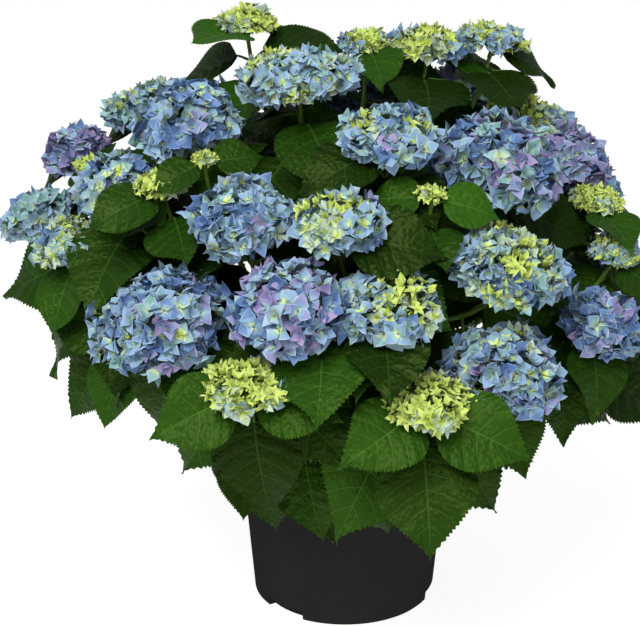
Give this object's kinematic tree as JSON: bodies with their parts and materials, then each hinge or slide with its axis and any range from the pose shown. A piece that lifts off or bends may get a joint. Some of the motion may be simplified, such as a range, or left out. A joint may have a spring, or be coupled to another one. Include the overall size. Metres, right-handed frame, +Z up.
{
  "type": "potted hydrangea shrub",
  "caption": "Bushy mophead hydrangea in flower, blue, lavender and lime flower heads over broad toothed leaves on woody canes, standing in a black plastic nursery pot of soil",
  "frame": {"origin": "Middle of the flat underside of the pot", "axes": "+Z up, +X to the right in the picture, and +Y away from the picture's viewer, who stands on the -Y side; metres"},
  "size_m": [0.8456, 0.8616, 0.7848],
  "materials": {
    "pot_plastic": "satin moulded black nursery pot plastic",
    "potting_soil": "moist dark peat and bark potting mix",
    "bark": "thin fibrous tan-brown bark",
    "foliage": "soft semi-gloss green leaves and stems",
    "petals_blue": "soft matt petals, blue in full colour",
    "petals_lavender": "soft matt petals, lavender to mauve",
    "petals_lime": "soft matt young petals, lime green"
  },
  "bodies": {
    "root": {"cane_low_1": "bark", "cane_low_2": "bark", "cane_low_3": "bark", "cane_low_4": "bark", "cane_low_5": "bark", "cane_low_6": "bark", "cane_low_7": "bark", "cane_low_8": "bark", "cane_middle_1": "bark", "cane_middle_2": "bark", "cane_middle_3": "bark", "cane_middle_4": "bark", "cane_middle_5": "bark", "cane_middle_6": "bark", "cane_top_1": "bark", "cane_top_2": "bark", "cane_top_3": "bark", "mass_low_1": "foliage", "mass_low_2": "foliage", "mass_low_3": "foliage", "mass_low_4": "foliage", "mass_low_5": "foliage", "mass_low_6": "foliage", "mass_low_7": "foliage", "mass_low_8": "foliage", "mass_middle_1": "foliage", "mass_middle_2": "foliage", "mass_middle_3": "foliage", "mass_middle_4": "foliage", "mass_middle_5": "foliage", "mass_middle_6": "foliage", "mass_top_1": "foliage", "mass_top_2": "foliage", "mass_top_3": "foliage", "pot": "pot_plastic", "potting_soil": "potting_soil", "root_crown": "bark"}
  },
  "joints": []
}
